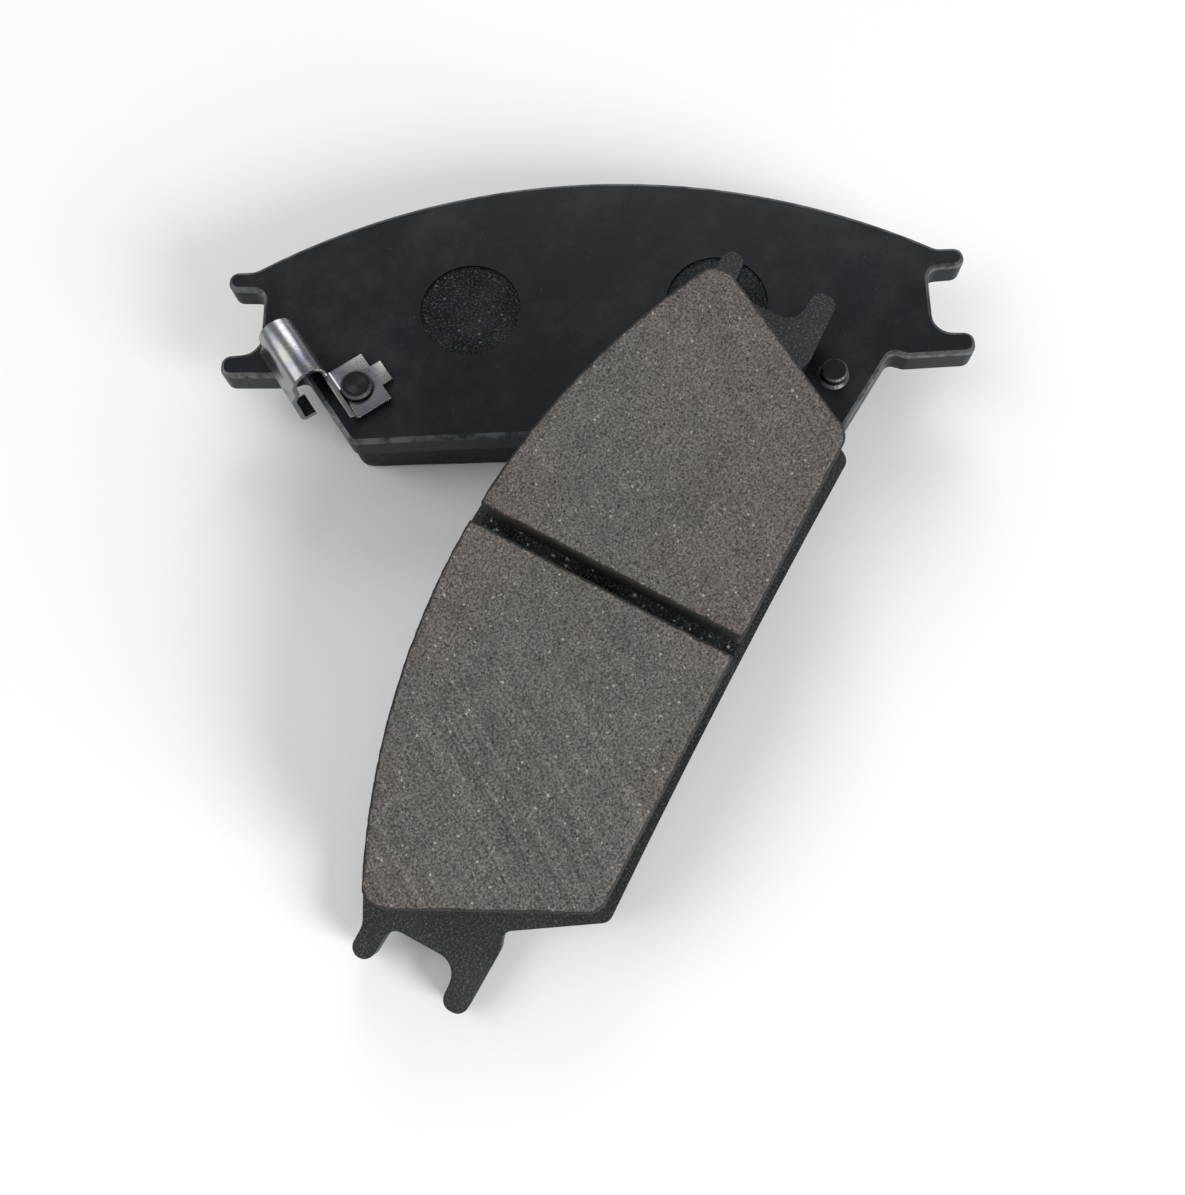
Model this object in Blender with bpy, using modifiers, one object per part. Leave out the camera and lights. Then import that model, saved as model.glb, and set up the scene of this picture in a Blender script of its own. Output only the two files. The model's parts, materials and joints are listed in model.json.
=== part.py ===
"""A set of two identical disc-brake pads, one lying on the other.

The lower pad lies on its friction face with its painted steel back up and its wear
indicator at one end. The upper pad lies on its back across the lower one, with one long
ear on the ground and its back on the lower pad's straight edge.

A pad's own frame: x along the pad, y towards the arc, z from the back face up to the
friction face, with the origin under the middle of the straight edge. Lengths in metres.
"""
import math

import bmesh
import bpy
from mathutils import Matrix, Vector

MM = 0.001

# Steel backing plate
PLATE_LENGTH = 140.0 * MM          # over the tips of the long ears
PLATE_HEIGHT = 53.6 * MM           # straight edge to the crown of the arc
PLATE_THICKNESS = 5.0 * MM
ARC_RADIUS = 131.4 * MM
CORNER_INSET = 25.3 * MM           # ear tip to the corner of the straight edge, along x
CORNER_RADIUS = 2.0 * MM
END_ANGLE = math.radians(57.1)     # slope of the slanted end edge
EDGE_HOLLOW = 0.6 * MM             # how far the straight edge bows inwards at its middle
EDGE_ROLL = 0.8 * MM               # rounding that blanking leaves on the back face's rim

# Ears and the notch between them, which rides on the caliper's rail
EAR_REACH = 7.3 * MM               # notch wall to the tip of the long ear
SHORT_EAR_CUT = 0.3 * MM           # how much sooner the short ear ends
LONG_EAR_HEIGHT = 5.2 * MM
SHORT_EAR_HEIGHT = 4.4 * MM
SHORT_EAR_DROP = 1.1 * MM          # short ear's top below the arc's height at the notch wall
NOTCH_HEIGHT = 13.0 * MM
NOTCH_ROUNDING = 2.2 * MM          # under the short ear
NOTCH_FILLET = 3.6 * MM            # at the root of the long ear
EAR_TIP_ROUNDING = 2.0 * MM
EAR_TAPER = 0.4 * MM               # how far each edge of an ear slopes in towards its tip
ROOT_RELIEF = 1.0 * MM             # relief above the long ear's underside, at its root
ROOT_ROUNDING = 1.6 * MM
ARC_BLEND = 3.0 * MM               # rounding where the arc runs into the short ear

# Half-pierced studs and the holes that key the lining
STUD_DIAMETER = 4.8 * MM
STUD_HEIGHT = 2.2 * MM
STUD_FLARE = 0.5 * MM              # widening of a bare stud at its root
STUD_CHAMFER = 0.35 * MM
STUD_FROM_CORNER = 8.4 * MM        # along the slanted edge
STUD_INSET = 6.8 * MM              # square to the slanted edge
STUD_HEAD_DIAMETER = 6.0 * MM      # after staking over the wear indicator
STUD_HEAD_HEIGHT = 0.9 * MM
STUD_DISH_DIAMETER = 3.8 * MM
STUD_DISH_DEPTH = 0.4 * MM
KEY_SPACING = 46.2 * MM            # between the two keying holes
KEY_HEIGHT = 26.7 * MM             # their centres above the straight edge
KEY_DIAMETER = 18.3 * MM           # of the underlayer's plugs
KEY_RECESS = 0.4 * MM              # plug end below the back face

# Underlayer and friction lining
UNDERLAYER_THICKNESS = 1.0 * MM
BLOCK_THICKNESS = 9.8 * MM
LINING_ARC_INSET = 2.0 * MM
LINING_BASE_INSET = 2.2 * MM
LINING_END_INSET = 9.8 * MM        # ear tip to the lining's end, along x
LINING_CORNER_INSET = 0.5 * MM     # plate's corner to the lining's corner, along x
LINING_END_EDGE = 3.9 * MM         # height of the short upright edge at each end
LINING_OFFSET = 1.3 * MM           # the lining sits this far towards the indicator's end
LINING_CORNER_ROUNDING = 3.0 * MM
LINING_EDGE = 0.3 * MM             # bevel on the blocks' edges
SLOT_CENTRE = 5.2 * MM             # from the pad's middle, towards the indicator's end
SLOT_WIDTH = 2.9 * MM

# Wear indicator: one strip of spring steel, staked on a stud and curled over the end edge
SHEET = 0.9 * MM
TAB_LENGTH = 11.0 * MM             # along the slanted edge
TAB_REACH = 4.0 * MM               # stud's centre to the tab's inner edge
NUB_REACH = 2.2 * MM
NUB_WIDTH = 3.6 * MM
NUB_SLOPE = 0.5 * MM
FLANGE_INSET = 3.0 * MM            # upright flange's middle, inside the end edge
FLANGE_HEIGHT = 2.4 * MM
BEND_RADIUS = 1.1 * MM             # to the middle of the sheet
ARCH_RADIUS = 3.1 * MM             # to the middle of the sheet
ARCH_HEIGHT = 3.5 * MM             # arch's centre above the back face
ARCH_LENGTH = 12.6 * MM
LEG_STEP = 1.2 * MM                # the leg's step outwards below the arch
LEG_STEP_TOP = 1.9 * MM            # above the back face
LEG_STEP_BOTTOM = 0.2 * MM
FEELER_WIDTH = 4.5 * MM
FEELER_DROP = 2.0 * MM             # middle of the feeler's lip beyond the plate's friction side
FEELER_LIP = 2.6 * MM              # length of the lip turned back towards the lining
EAR_CLEARANCE = 0.4 * MM           # arch's leg and feeler to the long ear

# Fits and placing
GAP = 0.3 * MM                     # between pieces that touch
UPPER_PAD_TURN = math.radians(60.9)
NEST_CLEARANCE = 2.3 * MM          # lower pad's bare stud to the upper pad's outline
TRIM_REACH = 10.0 * MM             # how far a cut runs past the piece it trims

# Fineness of round shapes
ARC_STEP = math.radians(15)
ARC_POINTS = 28                    # along the plate's or the lining's arc
BEND_STEPS = 5
ARCH_STEPS = 12
ROUND_SIDES = 36
STUD_SIDES = 24
ROLL_SEGMENTS = 2
FACE_TOLERANCE = 0.03 * MM         # a vertex this near a face's plane lies on it
SHARP_ANGLE = math.radians(45)
FLAT_ANGLE = math.radians(0.1)
RIM_STEPS = 12                     # points on each stretch of an outline that is laid against
SETTLING_ROUNDS = 30               # passes that find how the upper pad comes to rest

PAD_THICKNESS = PLATE_THICKNESS + UNDERLAYER_THICKNESS + BLOCK_THICKNESS + 2 * GAP
HALF_LENGTH = PLATE_LENGTH / 2
CORNER_X = HALF_LENGTH - CORNER_INSET
NOTCH_X = HALF_LENGTH - EAR_REACH


def arc_height(x, inset=0.0):
    """Height above the straight edge of the arc, or of an arc that far inside it, at x."""
    return math.sqrt((ARC_RADIUS - inset) ** 2 - x ** 2) - ARC_RADIUS + PLATE_HEIGHT


SHORT_EAR_TOP = arc_height(NOTCH_X) - SHORT_EAR_DROP
NOTCH_TOP = SHORT_EAR_TOP - SHORT_EAR_HEIGHT
NOTCH_BOTTOM = NOTCH_TOP - NOTCH_HEIGHT
EAR_UNDERSIDE = NOTCH_BOTTOM - LONG_EAR_HEIGHT


def end_point(along, inset):
    """Point of the pad at a distance along the slanted end edge and inside it."""
    x = CORNER_X + along * math.cos(END_ANGLE) - inset * math.sin(END_ANGLE)
    y = along * math.sin(END_ANGLE) + inset * math.cos(END_ANGLE)
    return x, y


STUD_X, STUD_Y = end_point(STUD_FROM_CORNER, STUD_INSET)


# ---------------------------------------------------------------- scene and collections
def clear_scene():
    for obj in list(bpy.data.objects):
        bpy.data.objects.remove(obj, do_unlink=True)


def new_collection(name):
    collection = bpy.data.collections.new(name)
    bpy.context.scene.collection.children.link(collection)
    return collection


def new_material(name, colour, roughness, metallic):
    material = bpy.data.materials.new(name)
    material.use_nodes = True
    shader = material.node_tree.nodes["Principled BSDF"]
    shader.inputs["Base Color"].default_value = (*colour, 1.0)
    shader.inputs["Roughness"].default_value = roughness
    shader.inputs["Metallic"].default_value = metallic
    return material


def move_to(obj, collection):
    for other in list(obj.users_collection):
        other.objects.unlink(obj)
    collection.objects.link(obj)


def as_cutter(obj):
    obj.hide_render = True
    obj.display_type = "WIRE"
    move_to(obj, CUTTERS)


def shade_round(obj):
    obj.data.shade_smooth()
    obj.data.set_sharp_from_angle(angle=math.radians(35))


# ---------------------------------------------------------------- outlines
def rounded(corners):
    """Outline through (x, y, radius) corners, each rounded by an arc of its radius."""
    points = []
    for index, (x, y, radius) in enumerate(corners):
        here = Vector((x, y))
        back = (Vector(corners[index - 1][:2]) - here).normalized()
        ahead = (Vector(corners[(index + 1) % len(corners)][:2]) - here).normalized()
        if radius == 0:
            points.append(here)
            continue
        opening = back.angle(ahead)
        reach = radius / math.tan(opening / 2)
        centre = here + (back + ahead).normalized() * radius / math.sin(opening / 2)
        start = here + back * reach - centre
        turn = start.angle_signed(here + ahead * reach - centre)
        steps = max(2, math.ceil(abs(turn) / ARC_STEP))
        for step in range(steps + 1):
            points.append(centre + Matrix.Rotation(-turn * step / steps, 2) @ start)
    return points


def plate_outline():
    """The plate's outline, from the middle of the straight edge round the +x end."""
    tip_x = HALF_LENGTH
    short_tip_x = HALF_LENGTH - SHORT_EAR_CUT
    root_y = EAR_UNDERSIDE + ROOT_RELIEF
    root_x = CORNER_X + root_y / math.tan(END_ANGLE)
    arc_end = math.sqrt(ARC_RADIUS ** 2 - (ARC_RADIUS - PLATE_HEIGHT + SHORT_EAR_TOP) ** 2)
    half = []
    for share in (1 / 3, 2 / 3):
        half.append((CORNER_X * share, EDGE_HOLLOW * (1 - share ** 2), 0))
    half += [
        (CORNER_X, 0, CORNER_RADIUS),
        (root_x, root_y, ROOT_ROUNDING),
        (root_x + 3 * ROOT_RELIEF, EAR_UNDERSIDE, ROOT_ROUNDING),
        (tip_x, EAR_UNDERSIDE + EAR_TAPER, EAR_TIP_ROUNDING),
        (tip_x, NOTCH_BOTTOM - EAR_TAPER, EAR_TIP_ROUNDING),
        (NOTCH_X, NOTCH_BOTTOM, NOTCH_FILLET),
        (NOTCH_X, NOTCH_TOP, NOTCH_ROUNDING),
        (short_tip_x, NOTCH_TOP + EAR_TAPER, EAR_TIP_ROUNDING),
        (short_tip_x, SHORT_EAR_TOP, EAR_TIP_ROUNDING),
        (arc_end, SHORT_EAR_TOP, ARC_BLEND),
    ]
    for step in range(1, ARC_POINTS // 2):
        x = arc_end * (1 - 2 * step / ARC_POINTS)
        half.append((x, arc_height(x), 0))
    mirrored = [(-x, y, radius) for x, y, radius in reversed(half)]
    return rounded([(0, EDGE_HOLLOW, 0)] + half + [(0, PLATE_HEIGHT, 0)] + mirrored)


def lining_outline(start, stop):
    """The lining's outline between two heights along x, each cut square to the pad."""
    end = HALF_LENGTH - LINING_END_INSET
    base = CORNER_X - LINING_CORNER_INSET
    ends = []
    for side, limit in ((1, stop), (-1, start)):
        end_x = side * end + LINING_OFFSET
        top = arc_height(end_x, LINING_ARC_INSET)
        if limit is None:
            corners = [
                (side * base + LINING_OFFSET, LINING_BASE_INSET, LINING_CORNER_ROUNDING),
                (end_x, top - LINING_END_EDGE, LINING_CORNER_ROUNDING),
                (end_x, top, LINING_CORNER_ROUNDING),
            ]
        else:
            corners = [
                (limit, LINING_BASE_INSET, 0),
                (limit, arc_height(limit, LINING_ARC_INSET), 0),
            ]
        ends.append(corners)
    right, left = ends
    first, last = right[-1][0], left[-1][0]
    crown = []
    for step in range(1, ARC_POINTS):
        x = first + (last - first) * step / ARC_POINTS
        if min(abs(x - first), abs(x - last)) > LINING_CORNER_ROUNDING:
            crown.append((x, arc_height(x, LINING_ARC_INSET), 0))
    return rounded(right + crown + list(reversed(left)))


def prism(name, outline, bottom, top):
    """Closed flat solid of an outline between two heights."""
    curve = bpy.data.curves.new(name, "CURVE")
    curve.dimensions = "2D"
    curve.fill_mode = "BOTH"
    curve.extrude = (top - bottom) / 2
    spline = curve.splines.new("POLY")
    spline.points.add(len(outline) - 1)
    for point, place in zip(spline.points, outline):
        point.co = (place[0], place[1], 0, 1)
    spline.use_cyclic_u = True
    drawn = bpy.data.objects.new(name + "_outline", curve)
    bpy.context.scene.collection.objects.link(drawn)
    drawn.location.z = (top + bottom) / 2
    bpy.context.view_layer.update()
    evaluated = drawn.evaluated_get(bpy.context.evaluated_depsgraph_get())
    mesh = bpy.data.meshes.new_from_object(evaluated)
    mesh.transform(drawn.matrix_world)
    bm = bmesh.new()
    bm.from_mesh(mesh)
    bmesh.ops.remove_doubles(bm, verts=bm.verts, dist=0.00001)
    inner = [edge for edge in bm.edges if edge.calc_face_angle(math.pi) < FLAT_ANGLE]
    bmesh.ops.dissolve_edges(bm, edges=inner, use_verts=False)
    bm.to_mesh(mesh)
    bm.free()
    bpy.data.objects.remove(drawn)
    obj = bpy.data.objects.new(name, mesh)
    bpy.context.scene.collection.objects.link(obj)
    return obj


def cylinder(name, x, y, bottom, top, diameter, sides=ROUND_SIDES):
    bpy.ops.mesh.primitive_cylinder_add(
        vertices=sides, radius=diameter / 2, depth=top - bottom, location=(x, y, (bottom + top) / 2))
    obj = bpy.context.object
    obj.name = name
    return obj


def block(name, low, high):
    """Box between two corners, with its size in its mesh."""
    bpy.ops.mesh.primitive_cube_add(size=1)
    obj = bpy.context.object
    obj.name = name
    low, high = Vector(low), Vector(high)
    obj.data.transform(Matrix.LocRotScale((low + high) / 2, None, high - low))
    return obj


def turned(name, x, y, profile, sides=STUD_SIDES):
    """Turned solid of a profile of (radius, height) points, from top to bottom."""
    mesh = bpy.data.meshes.new(name)
    bm = bmesh.new()
    verts = [bm.verts.new((radius, 0, height)) for radius, height in profile]
    for pair in zip(verts, verts[1:]):
        bm.edges.new(pair)
    bm.to_mesh(mesh)
    bm.free()
    obj = bpy.data.objects.new(name, mesh)
    bpy.context.scene.collection.objects.link(obj)
    obj.location = (x, y, 0)
    screw = obj.modifiers.new("Turn", "SCREW")
    screw.steps = sides
    screw.render_steps = sides
    screw.use_merge_vertices = True
    screw.merge_threshold = 0.00001
    return obj


def boolean(obj, operand, operation):
    modifier = obj.modifiers.new(operand.name, "BOOLEAN")
    modifier.operation = operation
    modifier.object = operand
    modifier.solver = "EXACT"
    as_cutter(operand)


def hang(objects, parent):
    for obj in objects:
        obj.parent = parent


def finish(obj, material):
    obj.data.materials.clear()
    obj.data.materials.append(material)
    move_to(obj, PADS)


# ---------------------------------------------------------------- pieces of one pad
def roll_back_rim(obj):
    """Round the rim of the back face, as the blanking die leaves it."""
    bm = bmesh.new()
    bm.from_mesh(obj.data)
    weight = bm.edges.layers.float.new("bevel_weight_edge")
    for edge in bm.edges:
        on_back = all(abs(vert.co.z) < FACE_TOLERANCE for vert in edge.verts)
        if on_back and edge.calc_face_angle(0) > SHARP_ANGLE:
            edge[weight] = 1
    bm.to_mesh(obj.data)
    bm.free()
    bevel = obj.modifiers.new("Edge roll", "BEVEL")
    bevel.limit_method = "WEIGHT"
    bevel.width = EDGE_ROLL
    bevel.segments = ROLL_SEGMENTS
    bevel.use_clamp_overlap = False


def make_plate(prefix, staked):
    """Steel plate with two keying holes and two studs; the +x stud is staked if asked."""
    plate = prism(prefix + "backing_plate", plate_outline(), 0, PLATE_THICKNESS)
    roll_back_rim(plate)
    operands = []
    for side in (-1, 1):
        label = prefix + ("right" if side > 0 else "left")
        hole = cylinder(label + "_key_hole", side * KEY_SPACING / 2, KEY_HEIGHT,
                        -TRIM_REACH, PLATE_THICKNESS + TRIM_REACH, KEY_DIAMETER + 2 * GAP)
        boolean(plate, hole, "DIFFERENCE")
        shank = STUD_DIAMETER / 2
        root = EDGE_ROLL
        if side > 0 and staked:
            under_head = -(2 * GAP + SHEET)
            top = under_head - STUD_HEAD_HEIGHT
            head = STUD_HEAD_DIAMETER / 2
            rounding = STUD_HEAD_HEIGHT / 2
            profile = [(0, root), (shank, root), (shank, under_head), (head, under_head),
                       (head, top + rounding), (head - rounding, top),
                       (STUD_DISH_DIAMETER / 2, top), (0, top + STUD_DISH_DEPTH)]
        else:
            top = -STUD_HEIGHT
            foot = shank + STUD_FLARE
            profile = [(0, root), (foot, root), (foot, 0), (shank, -STUD_FLARE),
                       (shank, top + STUD_CHAMFER), (shank - STUD_CHAMFER, top), (0, top)]
        stud = turned(label + "_stud", side * STUD_X, STUD_Y, profile)
        boolean(plate, stud, "UNION")
        dimple = cylinder(label + "_dimple", side * STUD_X, STUD_Y,
                          PLATE_THICKNESS - STUD_HEIGHT, PLATE_THICKNESS + TRIM_REACH,
                          STUD_DIAMETER, STUD_SIDES)
        boolean(plate, dimple, "DIFFERENCE")
        operands += [hole, stud, dimple]
    finish(plate, PAINTED_STEEL)
    return plate, operands


def make_underlayer(prefix):
    """Bonding layer under the lining, with the plugs that fill the plate's holes."""
    bottom = PLATE_THICKNESS + GAP
    layer = prism(prefix + "underlayer", lining_outline(None, None),
                  bottom, bottom + UNDERLAYER_THICKNESS)
    inside = bottom + UNDERLAYER_THICKNESS / 2
    operands = []
    for side in (-1, 1):
        label = prefix + ("right" if side > 0 else "left")
        plug = cylinder(label + "_plug", side * KEY_SPACING / 2, KEY_HEIGHT,
                        KEY_RECESS, inside, KEY_DIAMETER)
        pip = cylinder(label + "_pip", side * STUD_X, STUD_Y,
                       PLATE_THICKNESS - STUD_HEIGHT + GAP, inside,
                       STUD_DIAMETER - 2 * GAP, STUD_SIDES)
        boolean(layer, plug, "UNION")
        boolean(layer, pip, "UNION")
        operands += [plug, pip]
    finish(layer, UNDERLAYER)
    return layer, operands


def make_block(name, start, stop):
    """One of the two friction blocks, which the cross slot parts."""
    bottom = PLATE_THICKNESS + UNDERLAYER_THICKNESS + 2 * GAP
    obj = prism(name, lining_outline(start, stop), bottom, PAD_THICKNESS)
    bevel = obj.modifiers.new("Edges", "BEVEL")
    bevel.limit_method = "ANGLE"
    bevel.angle_limit = SHARP_ANGLE
    bevel.width = LINING_EDGE
    bevel.segments = 1
    finish(obj, LINING)
    return obj


def make_pad(prefix, staked):
    """All the pieces of one pad under an empty at the pad's own origin."""
    frame = bpy.data.objects.new(prefix + "pad", None)
    PADS.objects.link(frame)
    plate, plate_operands = make_plate(prefix, staked)
    layer, layer_operands = make_underlayer(prefix)
    blocks = [
        make_block(prefix + "plain_end_block", None, SLOT_CENTRE - SLOT_WIDTH / 2),
        make_block(prefix + "indicator_end_block", SLOT_CENTRE + SLOT_WIDTH / 2, None),
    ]
    hang([plate, layer, *blocks, *plate_operands, *layer_operands], frame)
    shade_round(plate)
    shade_round(layer)
    return frame


# ---------------------------------------------------------------- wear indicator
def indicator_path():
    """Middle line of the strip, as (outwards, up) from the end edge and the back face."""
    tab_z = GAP + SHEET / 2
    inner = -(STUD_INSET + TAB_REACH + NUB_REACH)
    flange = -FLANGE_INSET
    arch_x = flange + ARCH_RADIUS
    leg = arch_x + ARCH_RADIUS
    lip_z = -(PLATE_THICKNESS + FEELER_DROP)
    path = [(inner, tab_z), (flange - BEND_RADIUS, tab_z)]
    for step in range(1, BEND_STEPS + 1):
        angle = -math.pi / 2 + math.pi / 2 * step / BEND_STEPS
        path.append((flange - BEND_RADIUS + BEND_RADIUS * math.cos(angle),
                     tab_z + BEND_RADIUS + BEND_RADIUS * math.sin(angle)))
    for step in range(ARCH_STEPS + 1):
        angle = math.pi * (1 - step / ARCH_STEPS)
        path.append((arch_x + ARCH_RADIUS * math.cos(angle),
                     ARCH_HEIGHT + ARCH_RADIUS * math.sin(angle)))
    path += [(leg, LEG_STEP_TOP), (leg + LEG_STEP / 2, (LEG_STEP_TOP + LEG_STEP_BOTTOM) / 2),
             (leg + LEG_STEP, LEG_STEP_BOTTOM), (leg + LEG_STEP, lip_z + BEND_RADIUS)]
    for step in range(1, BEND_STEPS + 1):
        angle = -math.pi / 2 * step / BEND_STEPS
        path.append((leg + LEG_STEP - BEND_RADIUS + BEND_RADIUS * math.cos(angle),
                     lip_z + BEND_RADIUS + BEND_RADIUS * math.sin(angle)))
    path.append((leg + LEG_STEP - FEELER_LIP, lip_z))
    return path


def make_indicator():
    """Strip swept along the end edge, then trimmed to its tab, flange, arch and feeler.

    Its frame: x along the end edge from the plate's corner, y outwards, z off the back face.
    """
    tab_start = STUD_FROM_CORNER - TAB_LENGTH / 2
    tab_end = STUD_FROM_CORNER + TAB_LENGTH / 2
    leg_out = -FLANGE_INSET + 2 * ARCH_RADIUS + LEG_STEP
    feeler_in = leg_out - FEELER_LIP
    ear_line = (EAR_UNDERSIDE - EAR_CLEARANCE + feeler_in * math.cos(END_ANGLE)) / math.sin(END_ANGLE)
    feeler_end = min(ear_line, tab_end + ARCH_LENGTH)
    arch_start = feeler_end - FEELER_WIDTH
    arch_end = arch_start + ARCH_LENGTH
    start, end = min(tab_start, arch_start), max(tab_end, arch_end)
    mesh = bpy.data.meshes.new("wear_indicator")
    bm = bmesh.new()
    verts = [bm.verts.new((start, out, up)) for out, up in indicator_path()]
    edges = [bm.edges.new(pair) for pair in zip(verts, verts[1:])]
    swept = bmesh.ops.extrude_edge_only(bm, edges=edges)["geom"]
    moved = [item for item in swept if isinstance(item, bmesh.types.BMVert)]
    bmesh.ops.translate(bm, verts=moved, vec=(end - start, 0, 0))
    bm.to_mesh(mesh)
    bm.free()
    strip = bpy.data.objects.new("wear_indicator", mesh)
    bpy.context.scene.collection.objects.link(strip)
    wall = strip.modifiers.new("Sheet", "SOLIDIFY")
    wall.thickness = SHEET
    wall.offset = 0
    wall.use_even_offset = True
    flange_face = -(FLANGE_INSET + SHEET / 2)
    tab_edge = -(STUD_INSET + TAB_REACH)
    low = -(STUD_INSET + TAB_REACH + NUB_REACH + TRIM_REACH)
    high = leg_out + TRIM_REACH
    top = ARCH_HEIGHT + ARCH_RADIUS + TRIM_REACH
    floor = -(PLATE_THICKNESS + FEELER_DROP + TRIM_REACH)
    nub_start = STUD_FROM_CORNER - NUB_WIDTH / 2
    nub_end = STUD_FROM_CORNER + NUB_WIDTH / 2
    near, far = start - TRIM_REACH, end + TRIM_REACH
    above_tab = GAP + SHEET + GAP
    trims = [
        block("trim_arch", (near, low, GAP + FLANGE_HEIGHT), (arch_start, high, top)),
        block("trim_leg", (near, -FLANGE_INSET + SHEET / 2 + GAP, floor), (arch_start, high, top)),
        block("trim_feeler", (feeler_end, -FLANGE_INSET + SHEET, floor), (far, high, EAR_CLEARANCE)),
        block("trim_tab_end", (tab_end, low, floor), (far, flange_face, above_tab)),
        block("trim_tab_start", (near, low, floor), (tab_start, flange_face, above_tab)),
        prism("trim_nub_end", [(nub_end + NUB_SLOPE, tab_edge), (nub_end, low), (far, low),
                               (far, tab_edge)], 0, above_tab),
        prism("trim_nub_start", [(near, tab_edge), (near, low), (nub_start, low),
                                 (nub_start - NUB_SLOPE, tab_edge)], 0, above_tab),
        cylinder("trim_hole", STUD_FROM_CORNER, -STUD_INSET, -TRIM_REACH, TRIM_REACH,
                 STUD_DIAMETER + 2 * GAP, STUD_SIDES),
    ]
    for trim in trims:
        boolean(strip, trim, "DIFFERENCE")
    finish(strip, ZINC)
    frame = bpy.data.objects.new("indicator_frame", None)
    PADS.objects.link(frame)
    # The strip's x and y run along and out of the +x end edge, and its z points off the back.
    frame.matrix_local = Matrix((
        (math.cos(END_ANGLE), math.sin(END_ANGLE), 0, CORNER_X),
        (math.sin(END_ANGLE), -math.cos(END_ANGLE), 0, 0),
        (0, 0, -1, 0),
        (0, 0, 0, 1),
    ))
    hang([strip, *trims], frame)
    shade_round(strip)
    return frame


# ---------------------------------------------------------------- placing
def upper_pad_rest():
    """Where the upper pad lies: its back on the lower pad's straight edge, its long ear down.

    Its stud at the indicator's end is caught behind the lower pad's straight edge, and the
    lower pad's bare stud nests between its long ear and its end edge.
    """
    turn = Matrix.Rotation(UPPER_PAD_TURN, 2)
    stud = turn @ Vector((STUD_X, STUD_Y))
    outline = plate_outline()
    rim = []
    for here, following in zip(outline, outline[1:] + outline[:1]):
        rim += [turn @ here.lerp(following, step / RIM_STEPS) for step in range(RIM_STEPS)]
    lowest = min(point.y for point in rim)
    reach = STUD_DIAMETER / 2 + NEST_CLEARANCE
    origin_x = origin_y = tilt = 0.0
    for _ in range(SETTLING_ROUNDS):
        caught_x = origin_x + stud.x
        edge_y = EDGE_HOLLOW * (1 - (caught_x / CORNER_X) ** 2)
        origin_y = (edge_y - GAP - STUD_DIAMETER / 2 - stud.y * math.cos(tilt)
                    - STUD_HEIGHT * math.sin(tilt))
        run = (EDGE_HOLLOW - origin_y) / math.cos(tilt) - lowest
        tilt = math.asin((PAD_THICKNESS + GAP) / run)
        room = []
        for point in rim:
            across = point.y * math.cos(tilt) + origin_y - STUD_Y
            if abs(across) < reach:
                room.append(STUD_X - math.sqrt(reach ** 2 - across ** 2) - point.x)
        origin_x = min(room)
    lift = -lowest * math.sin(tilt)
    turned_pad = Matrix.Rotation(tilt, 4, "X") @ Matrix.Rotation(UPPER_PAD_TURN, 4, "Z")
    return Matrix.Translation((origin_x, origin_y, lift)) @ turned_pad


def centre_footprint(root):
    """Put the set's origin on the ground under the middle of its box."""
    bpy.context.view_layer.update()
    depsgraph = bpy.context.evaluated_depsgraph_get()
    corners = []
    for obj in PADS.objects:
        if obj.type == "MESH":
            seen = obj.evaluated_get(depsgraph)
            corners += [seen.matrix_world @ vert.co for vert in seen.data.vertices]
    low = Vector([min(corner[axis] for corner in corners) for axis in range(3)])
    high = Vector([max(corner[axis] for corner in corners) for axis in range(3)])
    middle = (low + high) / 2
    root.location = (-middle.x, -middle.y, -low.z)


clear_scene()
PADS = new_collection("brake_pads")
CUTTERS = new_collection("cutters")
PAINTED_STEEL = new_material("painted_steel", (0.012, 0.014, 0.018), 0.45, 0.0)
UNDERLAYER = new_material("underlayer", (0.020, 0.020, 0.021), 0.9, 0.0)
LINING = new_material("friction_lining", (0.125, 0.115, 0.105), 0.95, 0.0)
ZINC = new_material("zinc_plated_spring_steel", (0.55, 0.55, 0.52), 0.3, 1.0)

pair = bpy.data.objects.new("pad_pair", None)
PADS.objects.link(pair)

lower = make_pad("lower_", staked=True)
lower_indicator = make_indicator()
lower_indicator.parent = lower
lower.matrix_local = Matrix.Translation((0, 0, PAD_THICKNESS)) @ Matrix.Rotation(math.pi, 4, "Y")
upper = make_pad("upper_", staked=False)
upper.matrix_local = upper_pad_rest()
hang([lower, upper], pair)
centre_footprint(pair)
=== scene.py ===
"""Finishes for a set of two disc-brake pads, one lying face up across the other.

Each pad is a painted steel backing plate, a coarse underlayer pressed through the plate's
two keying holes, and two ground friction blocks parted by a slot. The lower pad also
carries a plated spring-steel wear indicator. Lengths are in metres.
"""
import json
import math

import bpy
from mathutils import Euler, Matrix, Vector


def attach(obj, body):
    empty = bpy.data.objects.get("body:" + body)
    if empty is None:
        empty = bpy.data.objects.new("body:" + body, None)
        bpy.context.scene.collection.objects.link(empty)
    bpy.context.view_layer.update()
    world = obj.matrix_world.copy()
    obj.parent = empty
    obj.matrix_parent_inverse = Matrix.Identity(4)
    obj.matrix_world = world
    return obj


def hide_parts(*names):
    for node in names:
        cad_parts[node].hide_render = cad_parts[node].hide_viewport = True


bl_info = {
    "name": "Brake Pad Set Finishes",
    "version": (1, 0, 0),
    "blender": (4, 5, 0),
    "location": "View3D > Sidebar > Brake Pads",
    "description": "Models the blocks, underlayers, plates and wear indicator of a brake pad set",
    "category": "Object",
}

MM = 0.001

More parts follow.
